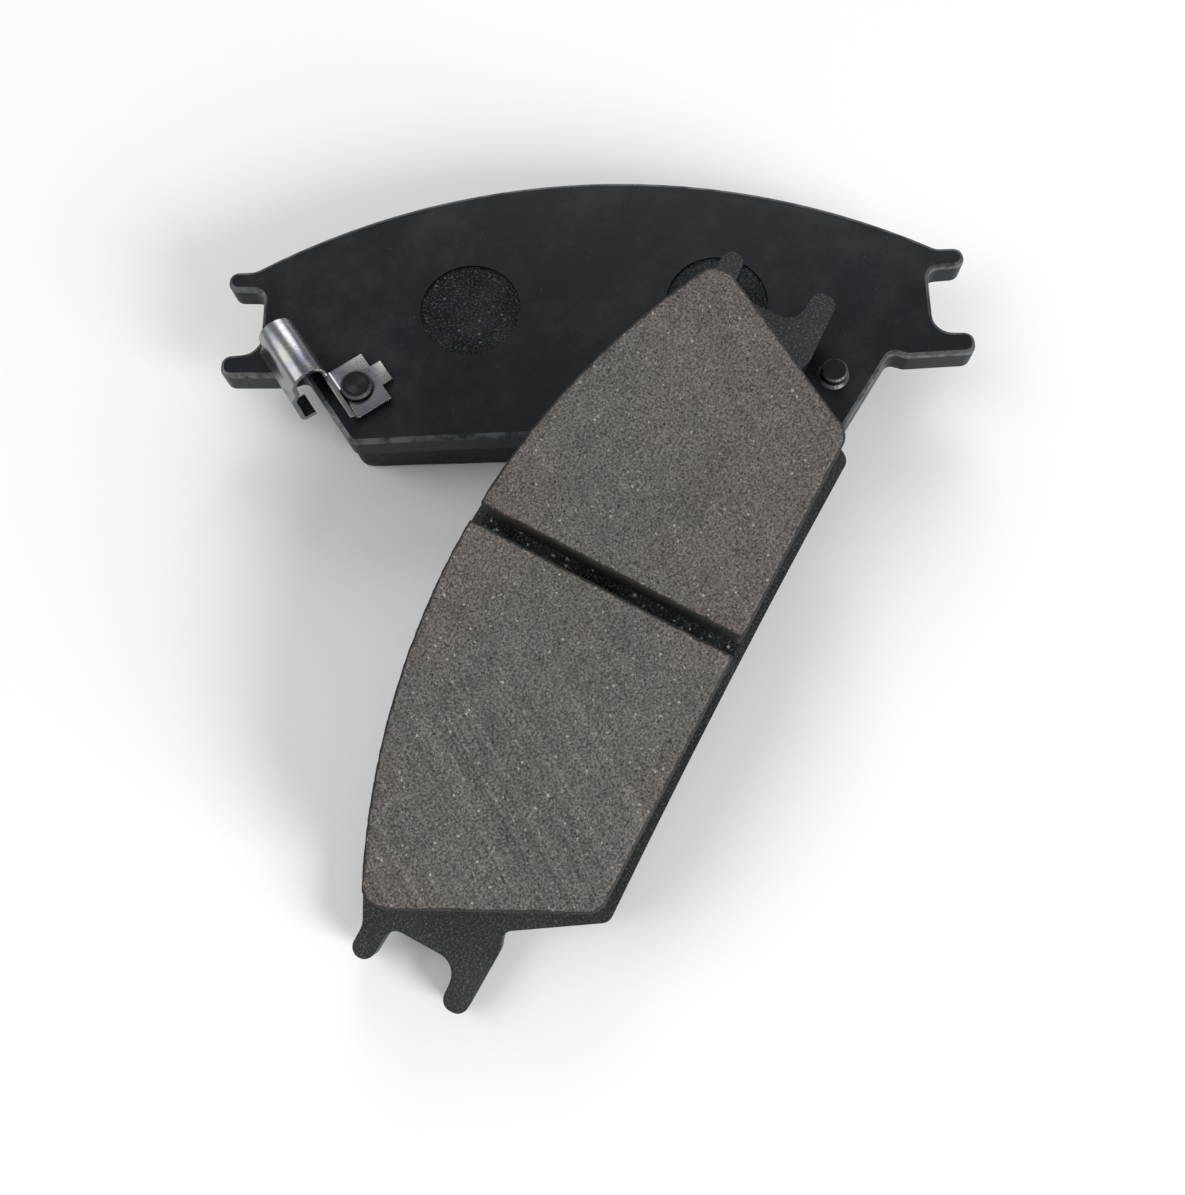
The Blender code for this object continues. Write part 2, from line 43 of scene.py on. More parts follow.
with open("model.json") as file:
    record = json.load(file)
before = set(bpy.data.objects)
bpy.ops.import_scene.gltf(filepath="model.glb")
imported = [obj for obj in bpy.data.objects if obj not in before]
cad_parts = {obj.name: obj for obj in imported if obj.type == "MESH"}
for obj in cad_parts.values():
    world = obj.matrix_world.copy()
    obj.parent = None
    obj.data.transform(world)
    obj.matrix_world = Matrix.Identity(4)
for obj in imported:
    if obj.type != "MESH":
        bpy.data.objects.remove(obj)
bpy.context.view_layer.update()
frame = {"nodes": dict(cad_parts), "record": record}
MOUNTS = {mount["name"]: mount for mount in frame["record"]["mounts"]}


def pad_frame(face, wall, other_wall):
    """Matrix from a pad's own frame to the set's: x along the pad, z out of its friction face."""
    z_axis = Vector(MOUNTS[face]["axis"]).normalized()
    x_axis = Vector(MOUNTS[wall]["axis"]).normalized()
    y_axis = z_axis.cross(x_axis).normalized()
    x_axis = y_axis.cross(z_axis)
    origin = (Vector(MOUNTS[wall]["pos_m"]) + Vector(MOUNTS[other_wall]["pos_m"])) / 2
    turned = Matrix((x_axis, y_axis, z_axis)).transposed().to_4x4()
    return Matrix.Translation(origin) @ turned


PAD_FRAMES = {
    "lower": pad_frame("lower_lining_face", "lower_left_rail_wall", "lower_right_rail_wall"),
    "upper": pad_frame("upper_lining_face", "upper_far_rail_wall", "upper_near_rail_wall"),
}
BLOCKS = {
    "lower_plain_end_block": "lower", "lower_indicator_end_block": "lower",
    "upper_plain_end_block": "upper", "upper_indicator_end_block": "upper",
}
UNDERLAYERS = {"lower_underlayer": "lower", "upper_underlayer": "upper"}
PLATES = {"lower_backing_plate": "lower", "upper_backing_plate": "upper"}

# Directions in a pad's own frame
FRICTION_SIDE = Vector((0, 0, 1))
SCRATCH_TURN = math.radians(-122)
STRIP_TURN = math.radians(57)

SMOOTH_ANGLE = math.radians(35)

# The underlayer: its slab, the tolerance on its faces, and the plugs in the keying holes
LAYER_THICKNESS = 1.0 * MM
NEAR_FACE = 0.1 * MM
PLUG_RADIUS = 9.15 * MM
PLUG_REACH = PLUG_RADIUS + 0.2 * MM

# A block's walls are where the normal's part along the pad's z axis is under WALL_LIMIT.
# They wear by WALL_WEAR of the full depth, and more within EDGE_BAND of the ground face.
WALL_LIMIT = 0.85
EDGE_BAND = 0.6 * MM
WALL_WEAR = 0.35

# The stage: the lights' targets and powers, and the camera's sensor in millimetres
WORLD_STRENGTH = 0.32
AIM = Vector((0, 0, 10 * MM))
SENSOR_WIDTH = 36
LIGHTS = (
    # name, place, size, power in watts
    ("key_light", (0.72, -0.62, 0.42), 0.55, 11.0),
    ("fill_light", (-0.7, 0.0, 0.65), 0.8, 3.4),
    ("back_light", (0.05, 0.95, 0.6), 0.6, 3.4),
)

# Sockets of a colour Mix node and of a float Mix node
COLOUR_A, COLOUR_B, COLOUR_RESULT = 6, 7, 2
FLOAT_A, FLOAT_B, FLOAT_RESULT = 2, 3, 0


def plug_centres(name, pad):
    """Middles of an underlayer's two plugs, in the pad's own frame."""
    to_pad = PAD_FRAMES[pad].inverted()
    places = [to_pad @ vertex.co for vertex in frame["nodes"][name].data.vertices]
    back = min(place.z for place in places)
    ends = [place for place in places if place.z < back + NEAR_FACE]
    centres = []
    for side in (-1, 1):
        rim = [place for place in ends if place.x * side > PLUG_RADIUS]
        xs, ys = [place.x for place in rim], [place.y for place in rim]
        centres.append(Vector(((min(xs) + max(xs)) / 2, (min(ys) + max(ys)) / 2)))
    return centres


PLUGS = {pad: plug_centres(name, pad) for name, pad in UNDERLAYERS.items()}


# Settings

class BlockSettings(bpy.types.PropertyGroup):
    """Sizes and colours of the friction blocks."""
    grid: bpy.props.FloatProperty(
        name="Surface Grid", description="Spacing of the mesh that carries the chipped edges",
        default=0.55 * MM, min=0.3 * MM, max=2 * MM, unit="LENGTH", precision=5)
    chipping: bpy.props.FloatProperty(
        name="Chipping", description="Depth of the unevenness on the walls and edges",
        default=0.22 * MM, min=0, max=1 * MM, unit="LENGTH", precision=5)
    grain_size: bpy.props.FloatProperty(
        name="Grain Size", description="Spacing of the light and dark grains",
        default=1.0 * MM, min=0.2 * MM, max=5 * MM, unit="LENGTH", precision=5)
    colour: bpy.props.FloatVectorProperty(
        name="Compound Colour", description="Ground friction compound", subtype="COLOR",
        size=4, min=0, max=1, default=(0.110, 0.102, 0.096, 1))
    light_grain: bpy.props.FloatVectorProperty(
        name="Light Grain Colour", description="Mineral and fibre grains", subtype="COLOR",
        size=4, min=0, max=1, default=(0.36, 0.34, 0.30, 1))
    wall_paint: bpy.props.FloatVectorProperty(
        name="Wall Paint Colour", description="Paint left on the walls after grinding",
        subtype="COLOR", size=4, min=0, max=1, default=(0.011, 0.012, 0.012, 1))
    dark_grain: bpy.props.FloatVectorProperty(
        name="Dark Grain Colour", description="Graphite and rubber grains", subtype="COLOR",
        size=4, min=0, max=1, default=(0.018, 0.017, 0.018, 1))


class UnderlayerSettings(bpy.types.PropertyGroup):
    """Sizes and colours of the underlayers and their plugs."""
    closing: bpy.props.FloatProperty(
        name="Gap Closing", description="How far the layer swells towards the plate and blocks",
        default=0.27 * MM, min=0, max=0.29 * MM, unit="LENGTH", precision=5)
    grain_size: bpy.props.FloatProperty(
        name="Grain Size", description="Spacing of the coarse grains", default=0.95 * MM,
        min=0.2 * MM, max=5 * MM, unit="LENGTH", precision=5)
    colour: bpy.props.FloatVectorProperty(
        name="Layer Colour", description="Moulded bonding layer", subtype="COLOR",
        size=4, min=0, max=1, default=(0.004, 0.0048, 0.0055, 1))
    grain_colour: bpy.props.FloatVectorProperty(
        name="Grain Colour", description="Grains that show through the paint", subtype="COLOR",
        size=4, min=0, max=1, default=(0.4, 0.41, 0.42, 1))


class PlateSettings(bpy.types.PropertyGroup):
    """Colours and finish of the painted steel plates."""
    back_colour: bpy.props.FloatVectorProperty(
        name="Back Colour", description="Satin paint on the back and the cut edges",
        subtype="COLOR", size=4, min=0, max=1, default=(0.0040, 0.0058, 0.0095, 1))
    front_colour: bpy.props.FloatVectorProperty(
        name="Friction Side Colour", description="Rough overspray around the lining",
        subtype="COLOR", size=4, min=0, max=1, default=(0.017, 0.0195, 0.019, 1))
    # Pale colour for the specks, dust and paint rubbed thin on the rolled edges, and also a
    # painted highlight along those edges
    speck_wear_and_highlight_colour: bpy.props.FloatVectorProperty(
        name="Rubbed Edge And Painted Highlight Colour", description="Paint rubbed thin on the rolled edge",
        subtype="COLOR", size=4, min=0, max=1, default=(0.13, 0.135, 0.14, 1))
    # Amount of rubbed paint and of painted highlight on the rolled edges
    edge_wear_and_highlight: bpy.props.FloatProperty(
        name="Edge Wear", description="How much of the rolled edge is rubbed",
        default=0.5, min=0, max=1, subtype="FACTOR")


class IndicatorSettings(bpy.types.PropertyGroup):
    """Edge rounding and plating of the wear indicator."""
    edge: bpy.props.FloatProperty(
        name="Edge Rounding", description="Rounding left on the sheared edges",
        default=0.12 * MM, min=0, max=0.3 * MM, unit="LENGTH", precision=5)
    plating: bpy.props.FloatVectorProperty(
        name="Plating Colour", description="Bright zinc plate", subtype="COLOR",
        size=4, min=0, max=1, default=(0.31, 0.325, 0.305, 1))
    tint: bpy.props.FloatVectorProperty(
        name="Passivation Tint", description="Faint blue and violet cast of the passivation",
        subtype="COLOR", size=4, min=0, max=1, default=(0.22, 0.23, 0.30, 1))


class StageSettings(bpy.types.PropertyGroup):
    """Floor, lights and camera."""
    floor_size: bpy.props.FloatProperty(
        name="Floor Size", description="Side of the pale floor", default=24, min=1,
        unit="LENGTH")
    floor_colour: bpy.props.FloatVectorProperty(
        name="Floor Colour", description="Plain pale floor", subtype="COLOR",
        size=4, min=0, max=1, default=(0.97, 0.97, 0.97, 1))
    camera_place: bpy.props.FloatVectorProperty(
        name="Camera Place", description="Where the camera stands", subtype="TRANSLATION",
        size=3, default=(6.307 * MM, -71.094 * MM, 221.155 * MM))
    camera_turn: bpy.props.FloatVectorProperty(
        name="Camera Turn", description="The camera's rotation", subtype="EULER", size=3,
        default=(math.radians(17.1406), math.radians(2.2714), math.radians(-0.7977)))
    focal_length: bpy.props.FloatProperty(
        name="Focal Length", description="Lens on a 36 mm wide sensor, in millimetres",
        default=37.5171, min=10, max=200, unit="CAMERA")


# Node building

def node(tree, kind, inputs=None, **options):
    """Adds a shader node, sets its options, and links or sets its inputs."""
    made = tree.nodes.new(kind)
    for key, value in options.items():
        setattr(made, key, value)
    for key, value in (inputs or {}).items():
        if isinstance(value, bpy.types.NodeSocket):
            tree.links.new(value, made.inputs[key])
        else:
            made.inputs[key].default_value = value
    return made


def math_node(tree, operation, first, second=0.0, clamp=False):
    """Output of a Math node."""
    return node(tree, "ShaderNodeMath", {0: first, 1: second},
                operation=operation, use_clamp=clamp).outputs[0]


def ramp(tree, value, low, high, to_low=0.0, to_high=1.0):
    """Value mapped smoothly from low..high to to_low..to_high."""
    return node(tree, "ShaderNodeMapRange",
                {"Value": value, "From Min": low, "From Max": high,
                 "To Min": to_low, "To Max": to_high},
                interpolation_type="SMOOTHSTEP").outputs["Result"]


def mix_colour(tree, share, first, second, blend="MIX"):
    """Colour mixed from first to second by share."""
    return node(tree, "ShaderNodeMix", {"Factor": share, COLOUR_A: first, COLOUR_B: second},
                data_type="RGBA", blend_type=blend).outputs[COLOUR_RESULT]


def shaded(tree, base, value, darkest, lightest):
    """Base colour times a colour that goes from darkest to lightest with value."""
    shade = mix_colour(tree, value, (*darkest, 1), (*lightest, 1))
    return mix_colour(tree, 1.0, base, shade, "MULTIPLY")


def grey(level):
    """Three equal colour channels."""
    return (level, level, level)


def noise(tree, vector, spacing, detail=3.0, roughness=0.55, stretch=(1, 1, 1)):
    """Noise value with features about as wide as spacing, drawn out by stretch."""
    scale = tuple(1 / (spacing * along) for along in stretch)
    placed = node(tree, "ShaderNodeVectorMath", {0: vector, 1: scale}, operation="MULTIPLY")
    return node(tree, "ShaderNodeTexNoise",
                {"Vector": placed.outputs[0], "Scale": 1.0, "Detail": detail,
                 "Roughness": roughness}).outputs["Fac"]


def new_group(name, inputs, outputs):
    """Empty node group with named inputs (kind, default) and outputs (kind)."""
    group = bpy.data.node_groups.new(name, "ShaderNodeTree")
    for label, (kind, default) in inputs.items():
        socket = group.interface.new_socket(name=label, in_out="INPUT",
                                            socket_type="NodeSocket" + kind)
        socket.default_value = default
    for label, kind in outputs.items():
        group.interface.new_socket(name=label, in_out="OUTPUT", socket_type="NodeSocket" + kind)
    start = group.nodes.new("NodeGroupInput")
    end = group.nodes.new("NodeGroupOutput")
    return group, start.outputs, end.inputs


GROUPS = {}


def place_group(tree, name, **inputs):
    """Places a shared node group in a material or group with that tree's own values."""
    return node(tree, "ShaderNodeGroup", inputs, node_tree=GROUPS[name]).outputs


def grains_group():
    """Scattered irregular grains: each cell holds one grain or none."""
    group, given, made = new_group(
        "Scattered Grains",
        {"Vector": ("Vector", (0, 0, 0)), "Spacing": ("Float", 0.001),
         "Share": ("Float", 0.3), "Largest": ("Float", 0.45)},
        {"Mask": "Float", "Tone": "Float"})
    per_metre = math_node(group, "DIVIDE", 1.0, given["Spacing"])
    scaled = node(group, "ShaderNodeVectorMath", {0: given["Vector"], "Scale": per_metre},
                  operation="SCALE").outputs[0]
    waver = node(group, "ShaderNodeTexNoise", {"Vector": scaled, "Scale": 2.6, "Detail": 2.0})
    offset = node(group, "ShaderNodeVectorMath",
                  {0: waver.outputs["Color"], 1: (-0.5, -0.5, -0.5)}, operation="ADD")
    bent = node(group, "ShaderNodeVectorMath",
                {0: offset.outputs[0], 1: (0.9, 0.9, 0.9), 2: scaled}, operation="MULTIPLY_ADD")
    cells = node(group, "ShaderNodeTexVoronoi", {"Vector": bent.outputs[0], "Scale": 1.0})
    random = node(group, "ShaderNodeSeparateColor", {"Color": cells.outputs["Color"]})
    picked = math_node(group, "LESS_THAN", random.outputs[0], given["Share"])
    smallest = math_node(group, "MULTIPLY", given["Largest"], 0.35)
    radius = node(group, "ShaderNodeMapRange",
                  {"Value": random.outputs[1], "To Min": smallest,
                   "To Max": given["Largest"]}).outputs[0]
    inner = math_node(group, "MULTIPLY", radius, 0.6)
    disc = node(group, "ShaderNodeMapRange",
                {"Value": cells.outputs["Distance"], "From Min": radius, "From Max": inner})
    mask = math_node(group, "MULTIPLY", picked, disc.outputs[0], clamp=True)
    group.links.new(mask, made["Mask"])
    group.links.new(random.outputs[2], made["Tone"])
    return group


def grinding_group():
    """Fine scratches that a grinding belt leaves along one direction of a turned vector."""
    group, given, made = new_group(
        "Grinding Scratches",
        {"Vector": ("Vector", (0, 0, 0))},
        {"Height": "Float"})
    fine = noise(group, given["Vector"], 0.55 * MM, detail=2.0, stretch=(90, 1, 1))
    broad = noise(group, given["Vector"], 1.3 * MM, detail=2.0, stretch=(40, 1, 1))
    patches = ramp(group, noise(group, given["Vector"], 26 * MM, detail=2.0), 0.38, 0.62)
    lines = math_node(group, "ADD", fine, math_node(group, "MULTIPLY", broad, 0.6))
    about_zero = math_node(group, "SUBTRACT", lines, 0.8)
    group.links.new(math_node(group, "MULTIPLY", about_zero, patches), made["Height"])
    return group


def rubbed_edge_and_highlight_group():
    """Where paint is rubbed thin, with a painted highlight on the same rolled edges: surfaces
    that turn from a plate's face into its side.
    """
    group, given, made = new_group(
        "Rubbed Edge And Painted Highlight",
        {"Vector": ("Vector", (0, 0, 0)), "Normal": ("Vector", (0, 0, 1)),
         "Face": ("Vector", (0, 0, 1)), "Amount": ("Float", 0.5)},
        {"Mask": "Float", "Facing": "Float"})
    facing = node(group, "ShaderNodeVectorMath", {0: given["Normal"], 1: given["Face"]},
                  operation="DOT_PRODUCT").outputs["Value"]
    steep = math_node(group, "ABSOLUTE", facing)
    band = math_node(group, "MULTIPLY", ramp(group, steep, 0.12, 0.35),
                     ramp(group, steep, 0.99, 0.9))
    patches = noise(group, given["Vector"], 3.2 * MM, detail=6.0, roughness=0.7)
    limit = math_node(group, "SUBTRACT", 1.0, given["Amount"])
    over = math_node(group, "SUBTRACT", patches, math_node(group, "MULTIPLY", limit, 0.72))
    rubbed_and_highlight = math_node(group, "MULTIPLY", over, 5.0, clamp=True)
    group.links.new(math_node(group, "MULTIPLY", band, rubbed_and_highlight), made["Mask"])
    group.links.new(facing, made["Facing"])
    return group


def dust_group():
    """Loose dust and lint that settles on what faces up."""
    group, given, made = new_group(
        "Settled Dust",
        {"Vector": ("Vector", (0, 0, 0)), "Normal": ("Vector", (0, 0, 1)),
         "Amount": ("Float", 0.3)},
        {"Mask": "Float"})
    up = node(group, "ShaderNodeSeparateXYZ", {0: given["Normal"]}).outputs["Z"]
    lying = ramp(group, up, 0.2, 0.95)
    film = ramp(group, noise(group, given["Vector"], 14 * MM, detail=8.0, roughness=0.65),
                0.42, 0.72)
    motes = place_group(group, "grains", Vector=given["Vector"], Spacing=1.6 * MM, Share=0.16,
                        Largest=0.14)["Mask"]
    both = math_node(group, "MAXIMUM", math_node(group, "MULTIPLY", film, 0.35), motes)
    settled = math_node(group, "MULTIPLY", both, lying)
    group.links.new(math_node(group, "MULTIPLY", settled, given["Amount"], clamp=True),
                    made["Mask"])
    return group


def build_groups():
    """Builds the shared node groups once."""
    if GROUPS:
        return
    GROUPS["grains"] = grains_group()
    GROUPS["grinding"] = grinding_group()
    GROUPS["rubbed_and_highlight"] = rubbed_edge_and_highlight_group()
    GROUPS["dust"] = dust_group()


def new_material(name):
    """Material with a Principled BSDF, and its tree, shader and coordinates."""
    material = bpy.data.materials.new(name)
    material.use_nodes = True
    tree = material.node_tree
    shader = tree.nodes["Principled BSDF"]
    coordinates = tree.nodes.new("ShaderNodeTexCoord")
    return material, tree, shader, coordinates


def in_pad(tree, coordinates, pad, turn=0.0):
    """Object coordinates brought into a pad's own frame and turned about its z axis."""
    matrix = PAD_FRAMES[pad] @ Matrix.Rotation(turn, 4, "Z")
    return node(tree, "ShaderNodeMapping",
                {"Vector": coordinates.outputs["Object"],
                 "Location": matrix.to_translation(), "Rotation": matrix.to_euler()},
                vector_type="TEXTURE").outputs[0]


def bump(tree, height, distance):
    """Normal of a Bump node over a height."""
    return node(tree, "ShaderNodeBump",
                {"Height": height, "Distance": distance, "Strength": 1.0}).outputs[0]


def facing_friction_side(tree, coordinates, pad):
    """How squarely a surface faces the way of the pad's friction side, from -1 to 1."""
    return node(tree, "ShaderNodeVectorMath",
                {0: coordinates.outputs["Normal"],
                 1: PAD_FRAMES[pad].to_3x3() @ FRICTION_SIDE},
                operation="DOT_PRODUCT").outputs["Value"]


def friction_compound(pad, settings):
    """Ground friction compound: warm grey with light and dark grains and belt scratches."""
    material, tree, shader, coordinates = new_material(pad + "_friction_compound")
    at = in_pad(tree, coordinates, pad)
    scratched_at = in_pad(tree, coordinates, pad, SCRATCH_TURN)
    ground = ramp(tree, facing_friction_side(tree, coordinates, pad), 0.85, 0.98)
    mottle = noise(tree, at, 9 * MM, detail=5.0, roughness=0.6)
    blotch = noise(tree, at, 2.4 * MM, detail=3.0, roughness=0.6)
    hue = noise(tree, at, 30 * MM, detail=2.0)
    specked = noise(tree, at, 0.42 * MM, detail=4.0, roughness=0.8)
    base = shaded(tree, settings.colour, ramp(tree, mottle, 0.3, 0.7), grey(0.94), grey(1.06))
    base = shaded(tree, base, ramp(tree, blotch, 0.32, 0.68), grey(0.9), grey(1.1))
    base = shaded(tree, base, ramp(tree, specked, 0.3, 0.7), grey(0.1), grey(1.75))
    base = shaded(tree, base, ramp(tree, hue, 0.35, 0.65), (0.97, 1.02, 0.99),
                  (1.05, 0.99, 0.98))
    size = settings.grain_size
    fine = place_group(tree, "grains", Vector=at, Spacing=size * 0.55, Share=0.5, Largest=0.42)
    light = place_group(tree, "grains", Vector=at, Spacing=size * 0.9, Share=0.55, Largest=0.3)
    shifted = node(tree, "ShaderNodeVectorMath", {0: at, 1: (0.31, 0.17, 0.05)},
                   operation="ADD").outputs[0]
    dark = place_group(tree, "grains", Vector=shifted, Spacing=size * 1.15, Share=0.42,
                       Largest=0.36)
    powder = place_group(tree, "grains", Vector=shifted, Spacing=size * 0.4, Share=0.4,
                         Largest=0.4)
    fine_share = math_node(tree, "MULTIPLY", fine["Mask"], 0.34)
    powder_share = math_node(tree, "MULTIPLY", powder["Mask"], 0.45)
    light_share = math_node(tree, "MULTIPLY", light["Mask"],
                            ramp(tree, light["Tone"], 0.0, 1.0, 0.25, 1.0))
    dark_share = math_node(tree, "MULTIPLY", dark["Mask"],
                           ramp(tree, dark["Tone"], 0.0, 1.0, 0.45, 1.0))
    base = mix_colour(tree, powder_share, base, settings.dark_grain)
    base = mix_colour(tree, fine_share, base, settings.light_grain)
    base = mix_colour(tree, dark_share, base, settings.dark_grain)
    base = mix_colour(tree, light_share, base, settings.light_grain)
    scratches = place_group(tree, "grinding", Vector=scratched_at)["Height"]
    on_face = math_node(tree, "MULTIPLY", scratches, ground)
    along_pad = node(tree, "ShaderNodeSeparateXYZ", {0: at}).outputs["X"]
    strength = ramp(tree, along_pad, 25 * MM, -35 * MM, 0.25, 1.0)
    on_face = math_node(tree, "MULTIPLY", on_face, strength)
    streaks = math_node(tree, "MULTIPLY", on_face, 1.1)
    streaks = math_node(tree, "ADD", streaks, 0.5, clamp=True)
    base = shaded(tree, base, streaks, grey(0.45), grey(1.55))
    painted = mix_colour(tree, 0.12, settings.wall_paint, base)
    base = mix_colour(tree, ground, painted, base)
    tree.links.new(base, shader.inputs["Base Color"])
    rough = ramp(tree, mottle, 0.3, 0.7, 0.86, 0.74)
    tree.links.new(math_node(tree, "SUBTRACT", rough,
                             math_node(tree, "MULTIPLY", light["Mask"], 0.25)),
                   shader.inputs["Roughness"])
    shader.inputs["Specular IOR Level"].default_value = 0.35
    pits = math_node(tree, "MULTIPLY", dark["Mask"], -0.8)
    relief = math_node(tree, "ADD", pits, noise(tree, at, 0.45 * MM, detail=4.0))
    relief = math_node(tree, "ADD", relief, math_node(tree, "MULTIPLY", on_face, 0.6))
    tree.links.new(bump(tree, relief, 0.09 * MM), shader.inputs["Normal"])
    return material


def bonding_layer(pad, settings):
    """Coarse moulded underlayer with grains under thin paint."""
    material, tree, shader, coordinates = new_material(pad + "_bonding_layer")
    at = in_pad(tree, coordinates, pad)
    size = settings.grain_size
    grains = place_group(tree, "grains", Vector=at, Spacing=size, Share=0.7, Largest=0.44)
    crumbs = place_group(tree, "grains", Vector=at, Spacing=size * 0.5, Share=0.6, Largest=0.45)
    powder = ramp(tree, noise(tree, at, 0.42 * MM, detail=4.0, roughness=0.8), 0.5, 0.72)
    patches = noise(tree, at, 3.5 * MM, detail=6.0, roughness=0.65)
    base = shaded(tree, settings.colour, ramp(tree, patches, 0.35, 0.7), grey(0.7), grey(1.6))
    share = math_node(tree, "MULTIPLY", grains["Mask"],
                      ramp(tree, grains["Tone"], 0.3, 1.0, 0.0, 0.75))
    base = mix_colour(tree, share, base, settings.grain_colour)
    base = mix_colour(tree, math_node(tree, "MULTIPLY", powder, 0.3), base,
                      settings.grain_colour)
    dust = place_group(tree, "dust", Vector=at, Normal=coordinates.outputs["Normal"],
                       Amount=0.12)["Mask"]
    base = mix_colour(tree, dust, base, settings.grain_colour)
    tree.links.new(base, shader.inputs["Base Color"])
    tree.links.new(ramp(tree, patches, 0.3, 0.7, 0.36, 0.6), shader.inputs["Roughness"])
    shader.inputs["Specular IOR Level"].default_value = 0.1
    lumps = math_node(tree, "MULTIPLY", noise(tree, at, 1.6 * MM, detail=5.0, roughness=0.6),
                      2.0)
    relief = math_node(tree, "ADD", lumps, math_node(tree, "MULTIPLY", crumbs["Mask"], 0.5))
    relief = math_node(tree, "ADD", relief, math_node(tree, "MULTIPLY", grains["Mask"], 0.6))
    tree.links.new(bump(tree, relief, 0.1 * MM), shader.inputs["Normal"])
    return material


def plate_paint(pad, settings):
    """Satin paint on the plate's back, rough overspray on its friction side."""
    material, tree, shader, coordinates = new_material(pad + "_plate_paint")
    at = in_pad(tree, coordinates, pad)
    normal = coordinates.outputs["Normal"]
    face = PAD_FRAMES[pad].to_3x3() @ FRICTION_SIDE
    rubbed_and_highlight = place_group(tree, "rubbed_and_highlight", Vector=at, Normal=normal, Face=face,
                         Amount=settings.edge_wear_and_highlight)
    front = ramp(tree, rubbed_and_highlight["Facing"], 0.3, 0.7)
    cloud = noise(tree, at, 22 * MM, detail=5.0, roughness=0.6)
    grit = noise(tree, at, 0.7 * MM, detail=4.0, roughness=0.6)
    specks = place_group(tree, "grains", Vector=at, Spacing=0.7 * MM, Share=0.4, Largest=0.3)
    base = mix_colour(tree, front, settings.back_colour, settings.front_colour)
    base = shaded(tree, base, ramp(tree, cloud, 0.3, 0.7), grey(0.8), grey(1.25))
    speck_share = math_node(tree, "MULTIPLY", specks["Mask"],
                            ramp(tree, front, 0.0, 1.0, 0.04, 0.8))
    base = mix_colour(tree, speck_share, base, settings.speck_wear_and_highlight_colour)
    powder = ramp(tree, noise(tree, at, 0.42 * MM, detail=4.0, roughness=0.8), 0.48, 0.66)
    powder = math_node(tree, "MULTIPLY", powder, ramp(tree, front, 0.0, 1.0, 0.0, 0.6))
    base = mix_colour(tree, powder, base, settings.speck_wear_and_highlight_colour)
    # Rolled edges lightened: partly paint rubbed thin, partly a painted highlight where the rims
    # would catch the light
    base = mix_colour(tree, rubbed_and_highlight["Mask"], base, settings.speck_wear_and_highlight_colour)
    dust = place_group(tree, "dust", Vector=at, Normal=normal, Amount=0.3)["Mask"]
    base = mix_colour(tree, dust, base, settings.speck_wear_and_highlight_colour)
    tree.links.new(base, shader.inputs["Base Color"])
    satin = ramp(tree, cloud, 0.3, 0.7, 0.46, 0.36)
    rough = ramp(tree, grit, 0.3, 0.7, 0.62, 0.75)
    gloss = node(tree, "ShaderNodeMix", {"Factor": front, FLOAT_A: satin, FLOAT_B: rough},
                 data_type="FLOAT").outputs[FLOAT_RESULT]
    tree.links.new(gloss, shader.inputs["Roughness"])
    tree.links.new(math_node(tree, "MULTIPLY", rubbed_and_highlight["Mask"], 0.5), shader.inputs["Metallic"])
    peel = math_node(tree, "MULTIPLY", noise(tree, at, 1.5 * MM, detail=2.0), 0.5)
    shader.inputs["Specular IOR Level"].default_value = 0.25
    coarse = math_node(tree, "MULTIPLY", grit, ramp(tree, front, 0.0, 1.0, 0.12, 1.6))
    relief = math_node(tree, "ADD", peel, coarse)
    relief = math_node(tree, "ADD", relief, math_node(tree, "MULTIPLY", specks["Mask"], 0.4))
    tree.links.new(bump(tree, relief, 0.05 * MM), shader.inputs["Normal"])
    return material


def zinc_plate(settings):
    """Bright zinc plate with a drawn grain along the strip and a faint tint."""
    material, tree, shader, coordinates = new_material("zinc_plate")
    at = in_pad(tree, coordinates, "lower", STRIP_TURN)
    drawn = noise(tree, at, 0.35 * MM, detail=3.0, stretch=(1, 40, 1))
    cloud = noise(tree, at, 4 * MM, detail=4.0, roughness=0.6)
    base = mix_colour(tree, ramp(tree, cloud, 0.4, 0.72), settings.plating, settings.tint)
    stains = ramp(tree, noise(tree, at, 1.4 * MM, detail=6.0, roughness=0.7), 0.58, 0.74)
    base = mix_colour(tree, math_node(tree, "MULTIPLY", stains, 0.35), base,
                      (0.15, 0.15, 0.17, 1))
    tree.links.new(base, shader.inputs["Base Color"])
    shader.inputs["Metallic"].default_value = 1.0
    rough = math_node(tree, "ADD", ramp(tree, drawn, 0.3, 0.7, 0.25, 0.31),
                      math_node(tree, "MULTIPLY", stains, 0.15))
    tree.links.new(rough, shader.inputs["Roughness"])
    shader.inputs["Anisotropic"].default_value = 0.35
    relief = math_node(tree, "ADD", math_node(tree, "MULTIPLY", drawn, 0.12), cloud)
    tree.links.new(bump(tree, relief, 0.03 * MM), shader.inputs["Normal"])
    return material


# Modelling

def select_only(piece):
    """Makes one object the only selected and active one, in object mode."""
    bpy.ops.object.select_all(action="DESELECT")
    piece.select_set(True)
    bpy.context.view_layer.objects.active = piece


def copy_of_node(name, piece_name):
    """Merged copy of a CAD node's mesh as a new object with flat faces made whole."""
    select_only(frame["nodes"][name])
    bpy.ops.object.duplicate()
    piece = bpy.context.view_layer.objects.active
    piece.name = piece_name
    piece.data.name = piece_name
    for key in list(piece.keys()):
        del piece[key]
    piece.parent = None
    piece.data.materials.clear()
    bpy.ops.object.mode_set(mode="EDIT")
    bpy.ops.mesh.select_all(action="SELECT")
    bpy.ops.mesh.customdata_custom_splitnormals_clear()
    bpy.ops.mesh.remove_doubles(threshold=0.001 * MM)
    bpy.ops.mesh.dissolve_limited(angle_limit=math.radians(0.3))
    bpy.ops.object.mode_set(mode="OBJECT")
    return piece


